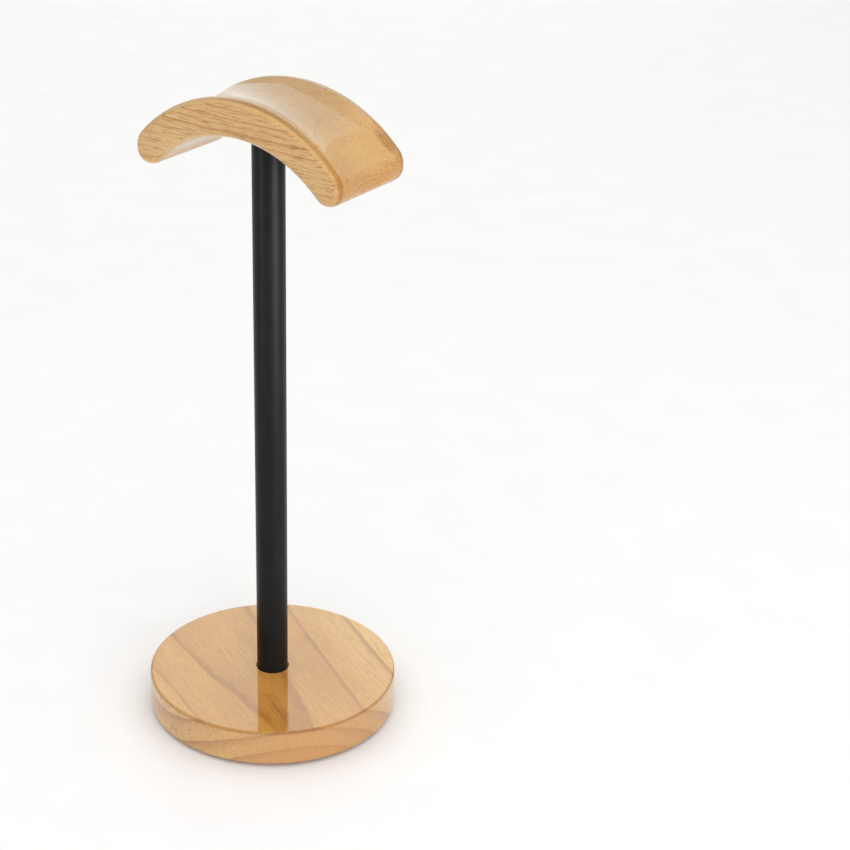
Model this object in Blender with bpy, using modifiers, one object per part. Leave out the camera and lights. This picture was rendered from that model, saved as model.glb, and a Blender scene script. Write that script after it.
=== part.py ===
"""Wooden headphone stand: a round base, a steel post and an arched, dished saddle.

Units are metres and +Z is up. The origin is on the floor, on the post's axis, and the
saddle arches along X. Run with: blender --background --python part.py
"""

import math

import bmesh
import bpy
from mathutils import Vector

# --- driving dimensions -------------------------------------------------------------------

GAP = 0.0003  # clearance kept between pieces that touch
OVERRUN = 0.0040  # how far a cutter runs past the surface that it cuts

BASE_DIAMETER = 0.120
BASE_THICKNESS = 0.0175
BASE_TOP_EDGE = 0.0013
BASE_LOWER_EDGE = 0.0010

PAD_DIAMETER = 0.012
PAD_THICKNESS = 0.0015
PAD_EDGE = 0.0003
PAD_CIRCLE_RADIUS = 0.047
PAD_COUNT = 4

TUBE_DIAMETER = 0.015
TUBE_WALL = 0.0012
TUBE_CHAMFER = 0.0003
TUBE_VISIBLE_LENGTH = 0.2734  # base top to the crown of the saddle's underside
SEAT_DEPTH = 0.0010  # each end of the tube stands in a shallow round seat in the wood

SADDLE_DEPTH = 0.0504
SADDLE_CROWN = 0.0173  # thickness at the middle of the arch, along the rims
SADDLE_TOP_RADIUS = 0.0744
SADDLE_UNDER_RADIUS = 0.0625
SHOULDER_ANGLE = math.radians(46.0)  # from the crown to the centre of the upper corner
SHOULDER_RADIUS = 0.0095
TIP_ANGLE = math.radians(45.0)  # from the crown to the centre of the lower corner
TIP_RADIUS = 0.0070
RIM_WIDTH = 0.0048  # front and back edges are rounded over an ellipse this wide
RIM_DROP = 0.0030  # and this high
CREST_WIDTH = 0.0006  # narrow land between the rounding and the dish
DISH_DEPTH = 0.0035  # hollow of the top between its two crests
DISH_FULL_ABOVE = math.radians(60)  # slope of the outward normal where the dish starts to fade
DISH_GONE_BELOW = math.radians(-58)  # and where it has run out, low on the rounded end
DISH_NARROWEST = 0.4  # share of its full width to which the dish narrows before it runs out

THREAD_DIAMETER = 0.0060  # M6 throughout
CLEARANCE_HOLE = THREAD_DIAMETER + 2 * GAP
COUNTERBORE_DIAMETER = 0.0200
COUNTERBORE_DEPTH = 0.0085

BOLT_LENGTH = 0.0250
BOLT_CHAMFER = 0.0007
BOLT_HEAD_DIAMETER = 0.0105
BOLT_HEAD_HEIGHT = 0.0033
BOLT_HEAD_RIM = 0.0008  # straight part of the head's side, below its dome
BOLT_HEAD_FLAT = 0.0029  # radius of the flat round the socket
SOCKET_ACROSS_FLATS = 0.0040
SOCKET_DEPTH = 0.0021

WASHER_DIAMETER = 0.0180
WASHER_THICKNESS = 0.0016
SPRING_WASHER_DIAMETER = 0.0118
SPRING_WASHER_BORE = 0.0068
SPRING_WASHER_THICKNESS = 0.0016
SPRING_WASHER_SLIT = 0.0009
SPRING_WASHER_SLANT = math.radians(20)

PLUG_LENGTH = 0.0180
PLUG_RECESS = 0.0008  # from the tube's end to the plug's end
PLUG_CHAMFER = 0.0005
PLUG_GROOVE_DEPTH = 0.0006
PLUG_GROOVE_WIDTH = 0.0020

STUD_LENGTH = 0.0200
INSERT_LENGTH = 0.0080
INSERT_DIAMETER = 0.0090
INSERT_RIB_DEPTH = 0.0006
INSERT_RIBS = 4
RIB_SLOPE_SHARE = 0.65  # of each rib's pitch, from its narrow top down to its land
RIB_LAND_SHARE = 0.20
STUD_SHORT_OF_INSERT = 0.0006  # the stud stops just below the insert's upper end

# --- sizes and heights that follow --------------------------------------------------------

BASE_BOTTOM = PAD_THICKNESS + GAP
BASE_TOP = BASE_BOTTOM + BASE_THICKNESS
UNDER_CROWN = BASE_TOP + TUBE_VISIBLE_LENGTH
SADDLE_TOP = UNDER_CROWN + SADDLE_CROWN

SEAT_DIAMETER = TUBE_DIAMETER + 2 * GAP
BASE_SEAT_FLOOR = BASE_TOP - SEAT_DEPTH
SADDLE_SEAT_FLOOR = UNDER_CROWN + SEAT_DEPTH
TUBE_BOTTOM = BASE_SEAT_FLOOR + GAP
TUBE_TOP = SADDLE_SEAT_FLOOR - GAP
TUBE_BORE = TUBE_DIAMETER - 2 * TUBE_WALL

COUNTERBORE_TOP = BASE_BOTTOM + COUNTERBORE_DEPTH
WASHER_TOP = COUNTERBORE_TOP - GAP
SPRING_WASHER_TOP = WASHER_TOP - WASHER_THICKNESS - GAP
BOLT_HEAD_TOP = SPRING_WASHER_TOP - SPRING_WASHER_THICKNESS - GAP

PLUG_DIAMETER = TUBE_BORE - 2 * GAP
LOWER_PLUG_BOTTOM = TUBE_BOTTOM + PLUG_RECESS
UPPER_PLUG_BOTTOM = TUBE_TOP - PLUG_RECESS - PLUG_LENGTH
INSERT_BOTTOM = SADDLE_SEAT_FLOOR + GAP
INSERT_TOP = INSERT_BOTTOM + INSERT_LENGTH
STUD_TOP = INSERT_TOP - STUD_SHORT_OF_INSERT

# --- smoothness of round shapes -----------------------------------------------------------

BASE_SIDES = 72
TUBE_SIDES = 40
HARDWARE_SIDES = 28
EDGE_STEPS = 4
RIM_STEPS = 4
DISH_STEPS = 10
TOP_ARC_STEPS = 14
SHOULDER_ARC_STEPS = 6
TIP_ARC_STEPS = 10
UNDER_ARC_STEPS = 11
SMOOTH_ANGLE = math.radians(35)


# --- shared helpers -----------------------------------------------------------------------

def clear_scene():
    for obj in list(bpy.data.objects):
        bpy.data.objects.remove(obj, do_unlink=True)


def new_collection(name):
    collection = bpy.data.collections.new(name)
    bpy.context.scene.collection.children.link(collection)
    return collection


def new_material(name, color, roughness, metallic=0.0, coat=0.0):
    material = bpy.data.materials.new(name)
    material.use_nodes = True
    shader = material.node_tree.nodes["Principled BSDF"]
    shader.inputs["Base Color"].default_value = (*color, 1.0)
    shader.inputs["Roughness"].default_value = roughness
    shader.inputs["Metallic"].default_value = metallic
    shader.inputs["Coat Weight"].default_value = coat
    return material


def add_object(name, mesh, collection, material=None):
    obj = bpy.data.objects.new(name, mesh)
    collection.objects.link(obj)
    if material:
        mesh.materials.append(material)
    return obj


def hide_cutter(cutter):
    cutter.hide_render = True
    cutter.display_type = "WIRE"


def cut(target, cutter, name):
    hide_cutter(cutter)
    modifier = target.modifiers.new(name, "BOOLEAN")
    modifier.operation = "DIFFERENCE"
    modifier.object = cutter


def arc_points(center, radius, start, end, steps):
    """Points on an arc in a plane, from the start angle to the end angle, both included."""
    points = []
    for step in range(steps + 1):
        angle = start + (end - start) * step / steps
        points.append((center[0] + radius * math.cos(angle), center[1] + radius * math.sin(angle)))
    return points


def turned(name, profile, sides, collection, material=None, ring=True):
    """Turns a (radius, height) profile about Z. A ring's profile closes on itself, and a
    solid's starts and ends on the axis. Either way it runs down its outer side."""
    mesh = bpy.data.meshes.new(name)
    points = [(radius, 0.0, height) for radius, height in profile]
    edges = [(index, index + 1) for index in range(len(points) - 1)]
    if ring:
        edges.append((len(points) - 1, 0))
    mesh.from_pydata(points, edges, [])
    obj = add_object(name, mesh, collection, material)
    screw = obj.modifiers.new("Turn", "SCREW")
    screw.axis = "Z"
    screw.angle = math.tau
    screw.steps = sides
    screw.render_steps = sides
    screw.use_merge_vertices = True
    screw.merge_threshold = 0.00001
    screw.use_smooth_shade = True
    return obj


# --- base and its feet --------------------------------------------------------------------

def make_base(collection, material):
    """The disc, with the tube's seat above and the counterbored bolt hole below."""
    radius = BASE_DIAMETER / 2
    lower = (radius - BASE_LOWER_EDGE, BASE_LOWER_EDGE)
    upper = (radius - BASE_TOP_EDGE, BASE_THICKNESS - BASE_TOP_EDGE)
    profile = [(SEAT_DIAMETER / 2, BASE_THICKNESS)]
    profile += arc_points(upper, BASE_TOP_EDGE, math.pi / 2, 0, EDGE_STEPS)
    profile += arc_points(lower, BASE_LOWER_EDGE, 0, -math.pi / 2, EDGE_STEPS)
    profile.append((COUNTERBORE_DIAMETER / 2, 0))
    profile.append((COUNTERBORE_DIAMETER / 2, COUNTERBORE_DEPTH))
    profile.append((CLEARANCE_HOLE / 2, COUNTERBORE_DEPTH))
    profile.append((CLEARANCE_HOLE / 2, BASE_THICKNESS - SEAT_DEPTH))
    profile.append((SEAT_DIAMETER / 2, BASE_THICKNESS - SEAT_DEPTH))
    base = turned("base_disc", profile, BASE_SIDES, collection, material)
    base.location.z = BASE_BOTTOM
    return base


def make_foot_pads(collection, material, base):
    """Four thin round pads stuck under the disc, one on each diagonal."""
    radius = PAD_DIAMETER / 2
    profile = [(0, PAD_THICKNESS), (radius, PAD_THICKNESS), (radius, PAD_EDGE)]
    profile += [(radius - PAD_EDGE, 0), (0, 0)]
    for index in range(PAD_COUNT):
        angle = math.tau * (index + 0.5) / PAD_COUNT
        name = f"foot_pad_{index + 1}"
        pad = turned(name, profile, HARDWARE_SIDES, collection, material, ring=False)
        pad.parent = base
        pad.location.x = PAD_CIRCLE_RADIUS * math.cos(angle)
        pad.location.y = PAD_CIRCLE_RADIUS * math.sin(angle)
        pad.location.z = -BASE_BOTTOM


# --- fastening under the base -------------------------------------------------------------

def make_base_bolt(collection, cutters, material):
    """A domed socket-head screw. Its origin is under the head, where the shank starts."""
    shank = THREAD_DIAMETER / 2
    head = BOLT_HEAD_DIAMETER / 2
    dome_height = BOLT_HEAD_HEIGHT - BOLT_HEAD_RIM
    profile = [(0, BOLT_LENGTH), (shank - BOLT_CHAMFER, BOLT_LENGTH)]
    profile += [(shank, BOLT_LENGTH - BOLT_CHAMFER), (shank, 0), (head, 0)]
    for step in range(EDGE_STEPS + 1):
        angle = math.pi / 2 * step / EDGE_STEPS
        dome_radius = BOLT_HEAD_FLAT + (head - BOLT_HEAD_FLAT) * math.cos(angle)
        profile.append((dome_radius, -BOLT_HEAD_RIM - dome_height * math.sin(angle)))
    profile.append((0, -BOLT_HEAD_HEIGHT))
    bolt = turned("base_bolt", profile, HARDWARE_SIDES, collection, material, ring=False)
    bolt.location.z = BOLT_HEAD_TOP

    mesh = bpy.data.meshes.new("socket_cutter")
    cutter_mesh = bmesh.new()
    corner_radius = SOCKET_ACROSS_FLATS / math.sqrt(3)
    bmesh.ops.create_cone(
        cutter_mesh, cap_ends=True, segments=6, radius1=corner_radius, radius2=corner_radius,
        depth=2 * SOCKET_DEPTH,
    )
    cutter_mesh.to_mesh(mesh)
    cutter_mesh.free()
    cutter = add_object("socket_cutter", mesh, cutters)
    cutter.location.z = BOLT_HEAD_TOP - BOLT_HEAD_HEIGHT
    cut(bolt, cutter, "Hex socket")


def make_flat_washer(collection, material):
    outer = WASHER_DIAMETER / 2
    inner = CLEARANCE_HOLE / 2
    profile = [(outer, 0), (outer, -WASHER_THICKNESS), (inner, -WASHER_THICKNESS), (inner, 0)]
    washer = turned("base_washer", profile, HARDWARE_SIDES, collection, material)
    washer.location.z = WASHER_TOP


def make_spring_washer(collection, cutters, material):
    """A split ring, cut through on one side by a slanted slit."""
    outer = SPRING_WASHER_DIAMETER / 2
    inner = SPRING_WASHER_BORE / 2
    bottom = -SPRING_WASHER_THICKNESS
    profile = [(outer, 0), (outer, bottom), (inner, bottom), (inner, 0)]
    washer = turned("spring_washer", profile, HARDWARE_SIDES, collection, material)
    washer.location.z = SPRING_WASHER_TOP

    mesh = bpy.data.meshes.new("slit_cutter")
    cutter_mesh = bmesh.new()
    bmesh.ops.create_cube(cutter_mesh, size=1.0)
    slit = (outer, SPRING_WASHER_SLIT, SPRING_WASHER_THICKNESS + 2 * OVERRUN)
    bmesh.ops.scale(cutter_mesh, vec=slit, verts=cutter_mesh.verts)
    cutter_mesh.to_mesh(mesh)
    cutter_mesh.free()
    cutter = add_object("slit_cutter", mesh, cutters)
    cutter.location = (outer, 0, SPRING_WASHER_TOP - SPRING_WASHER_THICKNESS / 2)
    cutter.rotation_euler.x = SPRING_WASHER_SLANT
    cut(washer, cutter, "Slit")


# --- tube and the threaded plugs in its ends ----------------------------------------------

def make_tube(collection, material):
    outer = TUBE_DIAMETER / 2
    inner = TUBE_BORE / 2
    length = TUBE_TOP - TUBE_BOTTOM
    profile = [(outer - TUBE_CHAMFER, length), (outer, length - TUBE_CHAMFER)]
    profile += [(outer, TUBE_CHAMFER), (outer - TUBE_CHAMFER, 0), (inner, 0), (inner, length)]
    tube = turned("support_tube", profile, TUBE_SIDES, collection, material)
    tube.location.z = TUBE_BOTTOM
    return tube


def make_tube_plug(name, bottom, collection, material, tube):
    """A threaded plug pressed into the tube, with two grip grooves round it."""
    outer = PLUG_DIAMETER / 2
    inner = CLEARANCE_HOLE / 2
    profile = [(inner, PLUG_LENGTH), (outer - PLUG_CHAMFER, PLUG_LENGTH)]
    profile.append((outer, PLUG_LENGTH - PLUG_CHAMFER))
    for middle in (PLUG_LENGTH * 2 / 3, PLUG_LENGTH / 3):
        top = middle + PLUG_GROOVE_WIDTH / 2
        bottom_edge = middle - PLUG_GROOVE_WIDTH / 2
        profile += [(outer, top), (outer - PLUG_GROOVE_DEPTH, top)]
        profile += [(outer - PLUG_GROOVE_DEPTH, bottom_edge), (outer, bottom_edge)]
    profile += [(outer, PLUG_CHAMFER), (outer - PLUG_CHAMFER, 0), (inner, 0)]
    plug = turned(name, profile, HARDWARE_SIDES, collection, material)
    plug.parent = tube
    plug.location.z = bottom - TUBE_BOTTOM


# --- saddle and its fastening -------------------------------------------------------------

def make_saddle_stud(collection, material):
    """The double-ended stud that joins the upper plug to the saddle's insert."""
    radius = THREAD_DIAMETER / 2
    tip = radius - BOLT_CHAMFER
    profile = [(0, STUD_LENGTH), (tip, STUD_LENGTH), (radius, STUD_LENGTH - BOLT_CHAMFER)]
    profile += [(radius, BOLT_CHAMFER), (tip, 0), (0, 0)]
    stud = turned("saddle_stud", profile, HARDWARE_SIDES, collection, material, ring=False)
    stud.location.z = STUD_TOP - STUD_LENGTH


def make_saddle_insert(collection, material):
    """The ribbed insert pressed up into the saddle from below."""
    outer = INSERT_DIAMETER / 2
    core = outer - INSERT_RIB_DEPTH
    inner = CLEARANCE_HOLE / 2
    rib_pitch = INSERT_LENGTH / INSERT_RIBS
    profile = [(inner, INSERT_LENGTH)]
    for rib in range(INSERT_RIBS):
        top = INSERT_LENGTH - rib * rib_pitch
        land = top - rib_pitch * RIB_SLOPE_SHARE
        profile.append((core, top))
        profile.append((outer, land))
        profile.append((outer, land - rib_pitch * RIB_LAND_SHARE))
    profile += [(core, 0), (inner, 0)]
    insert = turned("saddle_insert", profile, HARDWARE_SIDES, collection, material)
    insert.location.z = INSERT_BOTTOM


def dish_share(normal):
    """All of the dish along the top, fading to none as the end turns under."""
    slope = math.atan2(normal.y, abs(normal.x))
    t = (DISH_FULL_ABOVE - slope) / (DISH_FULL_ABOVE - DISH_GONE_BELOW)
    t = min(max(t, 0.0), 1.0)
    return 1.0 - t * t * (3.0 - 2.0 * t)


def saddle_outline():
    """Right half of the saddle's front outline as (point, outward normal) pairs, from the
    crown of its top, round the end, to the crown of its underside.

    Heights count down from the crown of the top. A large arc makes the top, a corner arc
    the shoulder, a smaller one the tip, and a long arc the underside. Every arc is tangent
    to the next, or to the straight end face between the shoulder and the tip.
    """
    top_center = Vector((0, -SADDLE_TOP_RADIUS))
    under_center = Vector((0, -SADDLE_CROWN - SADDLE_UNDER_RADIUS))
    shoulder_way = Vector((math.sin(SHOULDER_ANGLE), math.cos(SHOULDER_ANGLE)))
    tip_way = Vector((math.sin(TIP_ANGLE), math.cos(TIP_ANGLE)))
    shoulder = top_center + (SADDLE_TOP_RADIUS - SHOULDER_RADIUS) * shoulder_way
    tip = under_center + (SADDLE_UNDER_RADIUS + TIP_RADIUS) * tip_way

    across = tip - shoulder
    tilt = math.acos((SHOULDER_RADIUS - TIP_RADIUS) / across.length)
    end_face = math.atan2(across.y, across.x) + tilt
    up = math.pi / 2
    steps = []

    def add_arc(center, radius, start, end, arc_steps, outward):
        for step in range(arc_steps + 1):
            angle = start + (end - start) * step / arc_steps
            way = Vector((math.cos(angle), math.sin(angle)))
            steps.append((center + radius * way, outward * way))

    add_arc(top_center, SADDLE_TOP_RADIUS, up, up - SHOULDER_ANGLE, TOP_ARC_STEPS, 1)
    steps.pop()
    add_arc(shoulder, SHOULDER_RADIUS, up - SHOULDER_ANGLE, end_face, SHOULDER_ARC_STEPS, 1)
    add_arc(tip, TIP_RADIUS, end_face, -up - TIP_ANGLE, TIP_ARC_STEPS, 1)
    steps.pop()
    add_arc(under_center, SADDLE_UNDER_RADIUS, up - TIP_ANGLE, up, UNDER_ARC_STEPS, -1)
    return steps


def rim_section():
    """(depth position, inset) over the rounded front edge, from its face to its crest."""
    crest = SADDLE_DEPTH / 2 - RIM_WIDTH
    section = []
    for step in range(RIM_STEPS + 1):
        angle = math.pi / 2 * step / RIM_STEPS
        section.append((-crest - RIM_WIDTH * math.cos(angle), RIM_DROP * (1 - math.sin(angle))))
    return section


def dish_section(share):
    """(depth position, inset) across the dish. It is one wide arc, lifted until the given
    share of its depth is left, so that its two edges draw together as it fades."""
    half_width = SADDLE_DEPTH / 2 - RIM_WIDTH - CREST_WIDTH
    radius = (half_width ** 2 + DISH_DEPTH ** 2) / (2 * DISH_DEPTH)
    left = DISH_DEPTH * share
    reach = max(math.sqrt(left * (2 * radius - left)), DISH_NARROWEST * half_width)
    section = []
    for step in range(DISH_STEPS + 1):
        y = reach * (2 * step / DISH_STEPS - 1)
        section.append((y, max(0.0, math.sqrt(radius ** 2 - y ** 2) - radius + left)))
    return section


def saddle_section(share):
    """(depth position, inset) from the front face to the back."""
    rim = rim_section()
    back_rim = [(-y, inset) for y, inset in reversed(rim)]
    return rim + dish_section(share) + back_rim


def make_saddle(collection, cutters, material):
    """A loft round the outline: at each of its points the section from front to back is set
    in by the rounding of both edges and, along the top and the ends, by the dish."""
    half = saddle_outline()
    mirrored = [
        (Vector((-point.x, point.y)), Vector((-normal.x, normal.y)))
        for point, normal in reversed(half[1:-1])
    ]
    shape = bmesh.new()
    columns = []
    for point, normal in half + mirrored:
        column = []
        for y, inset in saddle_section(dish_share(normal)):
            place = point - normal * inset
            column.append(shape.verts.new((place.x, y, place.y)))
        columns.append(column)
    for column, following in zip(columns, columns[1:] + columns[:1]):
        for index in range(len(column) - 1):
            corners = (column[index], following[index], following[index + 1], column[index + 1])
            shape.faces.new(corners)
    shape.faces.new([column[0] for column in columns])
    shape.faces.new([column[-1] for column in reversed(columns)])
    bmesh.ops.recalc_face_normals(shape, faces=shape.faces)
    mesh = bpy.data.meshes.new("saddle")
    shape.to_mesh(mesh)
    shape.free()
    mesh.shade_smooth()
    mesh.set_sharp_from_angle(angle=SMOOTH_ANGLE)
    saddle = add_object("saddle", mesh, collection, material)
    saddle.location.z = SADDLE_TOP

    seat = SEAT_DIAMETER / 2
    pocket = INSERT_DIAMETER / 2 + GAP
    pocket_top = INSERT_TOP + GAP - SADDLE_SEAT_FLOOR
    profile = [(0, pocket_top), (pocket, pocket_top), (pocket, 0), (seat, 0)]
    profile += [(seat, -OVERRUN), (0, -OVERRUN)]
    cutter = turned("saddle_seat_cutter", profile, TUBE_SIDES, cutters, ring=False)
    cutter.location.z = SADDLE_SEAT_FLOOR
    cut(saddle, cutter, "Seat and insert pocket")


# --- assembly -----------------------------------------------------------------------------

def main():
    clear_scene()
    parts = new_collection("headphone_stand")
    cutters = new_collection("cutters")
    base_wood = new_material("base_wood", (0.66, 0.44, 0.24), 0.32, coat=0.5)
    saddle_wood = new_material("saddle_wood", (0.68, 0.46, 0.25), 0.30, coat=0.5)
    black_steel = new_material("black_steel", (0.012, 0.012, 0.013), 0.38)
    zinc_steel = new_material("zinc_steel", (0.60, 0.60, 0.62), 0.32, metallic=1.0)
    brass = new_material("brass", (0.78, 0.57, 0.26), 0.30, metallic=1.0)
    rubber = new_material("rubber", (0.02, 0.02, 0.02), 0.80)

    base = make_base(parts, base_wood)
    make_foot_pads(parts, rubber, base)
    make_base_bolt(parts, cutters, zinc_steel)
    make_flat_washer(parts, zinc_steel)
    make_spring_washer(parts, cutters, zinc_steel)
    tube = make_tube(parts, black_steel)
    make_tube_plug("lower_tube_plug", LOWER_PLUG_BOTTOM, parts, zinc_steel, tube)
    make_tube_plug("upper_tube_plug", UPPER_PLUG_BOTTOM, parts, zinc_steel, tube)
    make_saddle_stud(parts, zinc_steel)
    make_saddle_insert(parts, brass)
    make_saddle(parts, cutters, saddle_wood)


main()
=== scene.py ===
import math

import bmesh
import bpy
from mathutils import Euler, Matrix, Vector


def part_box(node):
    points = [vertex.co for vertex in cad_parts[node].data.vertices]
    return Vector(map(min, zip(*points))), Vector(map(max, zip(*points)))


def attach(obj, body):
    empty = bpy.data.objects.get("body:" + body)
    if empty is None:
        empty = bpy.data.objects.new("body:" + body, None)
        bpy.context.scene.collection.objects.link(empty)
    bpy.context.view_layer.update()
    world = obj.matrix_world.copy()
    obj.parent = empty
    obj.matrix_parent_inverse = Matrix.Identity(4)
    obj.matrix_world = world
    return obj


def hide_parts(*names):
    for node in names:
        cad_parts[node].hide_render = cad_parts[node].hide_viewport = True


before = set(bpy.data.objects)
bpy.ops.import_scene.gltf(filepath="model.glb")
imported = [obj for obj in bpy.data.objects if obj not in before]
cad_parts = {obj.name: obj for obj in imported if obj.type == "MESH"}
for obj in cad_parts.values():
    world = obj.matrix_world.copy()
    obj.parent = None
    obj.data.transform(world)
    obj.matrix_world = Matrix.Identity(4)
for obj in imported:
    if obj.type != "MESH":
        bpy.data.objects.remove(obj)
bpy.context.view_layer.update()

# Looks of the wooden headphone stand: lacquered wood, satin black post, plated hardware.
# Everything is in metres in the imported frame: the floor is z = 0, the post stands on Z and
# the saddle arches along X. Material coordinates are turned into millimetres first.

MILLIMETRES = 1000.0  # in a metre

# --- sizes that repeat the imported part's --------------------------------------------------------

GAP = 0.0003  # clearance between pieces that touch
BASE_TOP_EDGE = 0.0013
BASE_LOWER_EDGE = 0.0010
COUNTERBORE_RADIUS = 0.0100
BOLT_HOLE_RADIUS = 0.0033

TUBE_WALL = 0.0012
TUBE_CHAMFER = 0.0003

SADDLE_CROWN = 0.0173
SADDLE_TOP_RADIUS = 0.0744
SADDLE_UNDER_RADIUS = 0.0625
SHOULDER_ANGLE = math.radians(46.0)
SHOULDER_RADIUS = 0.0095
TIP_ANGLE = math.radians(45.0)
TIP_RADIUS = 0.0070
RIM_WIDTH = 0.0048
RIM_DROP = 0.0030
CREST_WIDTH = 0.0006
DISH_DEPTH = 0.0035
DISH_FULL_ABOVE = math.radians(60)
DISH_GONE_BELOW = math.radians(-58)
DISH_NARROWEST = 0.4
SEAT_DEPTH = 0.0010
INSERT_POCKET_RADIUS = 0.0048

PAD_COUNT = 4
THREAD_RADIUS = 0.0030
BOLT_CHAMFER = 0.0007
BOLT_HEAD_HEIGHT = 0.0033
BOLT_HEAD_RIM = 0.0008
BOLT_HEAD_FLAT = 0.0029
SOCKET_ACROSS_FLATS = 0.0040
SOCKET_DEPTH = 0.0021
SPRING_WASHER_HOLE_RADIUS = 0.0034
SLIT_WIDTH = 0.0009
SLIT_SLANT = math.radians(20)
PLUG_GROOVE_DEPTH = 0.0006
PLUG_GROOVE_WIDTH = 0.0020
PLUG_GROOVES = 2
PLUG_CHAMFER = 0.0005
INSERT_RIB_DEPTH = 0.0006
INSERT_RIBS = 4
RIB_CREST = (0.65, 0.85)  # where a rib's crest starts and ends, in its own pitch

# --- finer shapes that only the looks have ------------------------------------------------------

FACE_MARGIN = 0.0004  # flat border round a large face, which keeps its shading even
RIM_EASE = 0.00025  # tiny chamfer at the mouth of a hole in the wood
PAD_EDGE = 0.00035
PAD_HOLLOW = 0.00008  # how far a pad's middle is sunk
PAD_HOLLOW_SHARE = 0.55  # of its radius, where it is sunk half as far
THREAD_PITCH = 0.0010
THREAD_DEPTH = 0.00055
BOLT_HEAD_EDGE = 0.0001
FLAT_WASHER_EDGE = 0.0002
SPRING_WASHER_EDGE = 0.00015
KNURL_DEPTH = 0.00025
TOUCH = 1e-6  # two lengths closer than this are the same

WOOD_SIDES = 160
TUBE_SIDES = 96
HARDWARE_SIDES = 64
BASE_TOP_EDGE_STEPS = 10
BASE_LOWER_EDGE_STEPS = 8
PAD_EDGE_STEPS = 5
WASHER_EDGE_STEPS = 4
BOLT_DOME_STEPS = 12
THREAD_STEPS = 8  # rows of points in one pitch
SADDLE_TOP_STEPS = 44
SADDLE_UNDER_STEPS = 40
SHOULDER_STEPS = 20
TIP_STEPS = 30
RIM_STEPS = 14
DISH_STEPS = 44
SMOOTH_ANGLE = math.radians(32)
CREST_ANGLE = math.radians(13)  # keeps the saddle's crests crisp

# --- colours, in linear light -------------------------------------------------------------------

BASE_PALE = (0.680, 0.412, 0.145)
BASE_HONEY = (0.595, 0.340, 0.098)
SADDLE_PALE = (0.630, 0.420, 0.190)
SADDLE_HONEY = (0.585, 0.365, 0.157)
SAPWOOD = (0.840, 0.620, 0.340)
HEARTWOOD = (0.520, 0.235, 0.062)
RING_BROWN = (0.385, 0.170, 0.030)
PORE_BROWN = (0.290, 0.125, 0.032)
DASH_BROWN = (0.330, 0.150, 0.038)
DARK_PATCH_BROWN = (0.280, 0.105, 0.022)
END_GRAIN = (0.500, 0.225, 0.045)
# painted shade of the rounded edges, multiplied into the wood's colour
EDGE_PAINTED_SHADE = (0.74, 0.66, 0.50)
POWDER_BLACK = (0.0040, 0.0040, 0.0042)
POWDER_WORN = (0.0055, 0.0054, 0.0053)
ZINC_GREY = (0.58, 0.59, 0.61)
ZINC_YELLOWED = (0.66, 0.65, 0.60)
BRASS_YELLOW = (0.76, 0.55, 0.25)
BRASS_DULLED = (0.70, 0.47, 0.19)
FOAM_BLACK = (0.022, 0.022, 0.023)
FOAM_DUST = (0.045, 0.045, 0.044)
FLOOR_WHITE = (0.860, 0.860, 0.880)
FLOOR_SHADE = (0.845, 0.845, 0.865)

# --- the wood's figure, in millimetres along the grain, across it and up ------------------------

DRIFT_SIZE = (110.0, 42.0, 42.0)
RIPPLE_SIZE = (26.0, 6.0, 6.0)
RIPPLE_REACH = (0.0, 1.1, 1.1)
PATCH_SIZE = (60.0, 12.0, 12.0)
BLOTCH_SIZE = (70.0, 24.0, 24.0)
FIBRE_SIZE = (24.0, 0.9, 0.9)
FLECK_SIZE = (3.2, 0.55, 0.55)
PORE_SIZE = (5.0, 0.38, 0.38)
PORE_FIELD_SIZE = (18.0, 5.0, 5.0)
DASH_SIZE = (10.0, 0.72, 0.72)
RAY_SIZE = (9.0, 0.7, 14.0)
PEEL_SIZE = (9.0, 4.0, 4.0)
WIDER_SEASONS = 0.45  # how much slower the seasons are counted where they grew wider
EDGE_SOFTNESS = 0.15  # half of the length over which the painted shade of a rounded edge begins
EDGE_BAND = (1.9, 2.9)  # how far from its start that painted shade begins to fade and is gone

# (place in the season, strength) of the dark line that ends it, and of its open pores
LATE_WOOD = [
    (0.0, 0.14), (0.04, 0.03), (0.45, 0.08), (0.78, 0.26),
    (0.88, 0.42), (0.92, 0.95), (0.975, 1.0), (1.0, 0.25),
]
EARLY_WOOD = [(0.0, 1.0), (0.40, 0.55), (0.8, 0.3), (1.0, 0.9)]


# --- mesh helpers -------------------------------------------------------------------------------

def arc(center, radius, start, end, steps):
    """Points of an arc from the start angle to the end angle, both included."""
    points = []
    for step in range(steps + 1):
        angle = start + (end - start) * step / steps
        points.append((center[0] + radius * math.cos(angle), center[1] + radius * math.sin(angle)))
    return points


def mesh_from(shape, name):
    """A mesh of the shape, which is used up."""
    mesh = bpy.data.meshes.new(name)
    shape.to_mesh(mesh)
    shape.free()
    return mesh


def closed_mesh_from(shape, name):
    """A mesh of a closed shape, with all its faces turned outwards."""
    bmesh.ops.recalc_face_normals(shape, faces=shape.faces)
    return mesh_from(shape, name)


def turned(name, profile, sides, ring=True, radius_at=None):
    """A mesh of a (radius, height) profile turned about Z. A ring's profile closes on itself,
    and a solid's starts and ends on the axis. radius_at may change each point's radius."""
    shape = bmesh.new()
    rows = []
    for radius, height in profile:
        if radius == 0:
            rows.append([shape.verts.new((0, 0, height))])
            continue
        row = []
        for side in range(sides):
            angle = math.tau * side / sides
            out = radius_at(radius, height, angle) if radius_at else radius
            row.append(shape.verts.new((out * math.cos(angle), out * math.sin(angle), height)))
        rows.append(row)
    pairs = list(zip(rows, rows[1:]))
    if ring:
        pairs.append((rows[-1], rows[0]))
    for upper, lower in pairs:
        for side in range(sides):
            after = (side + 1) % sides
            corners = [upper[side % len(upper)], lower[side % len(lower)]]
            corners += [lower[after % len(lower)], upper[after % len(upper)]]
            shape.faces.new(list(dict.fromkeys(corners)))
    return closed_mesh_from(shape, name)


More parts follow.
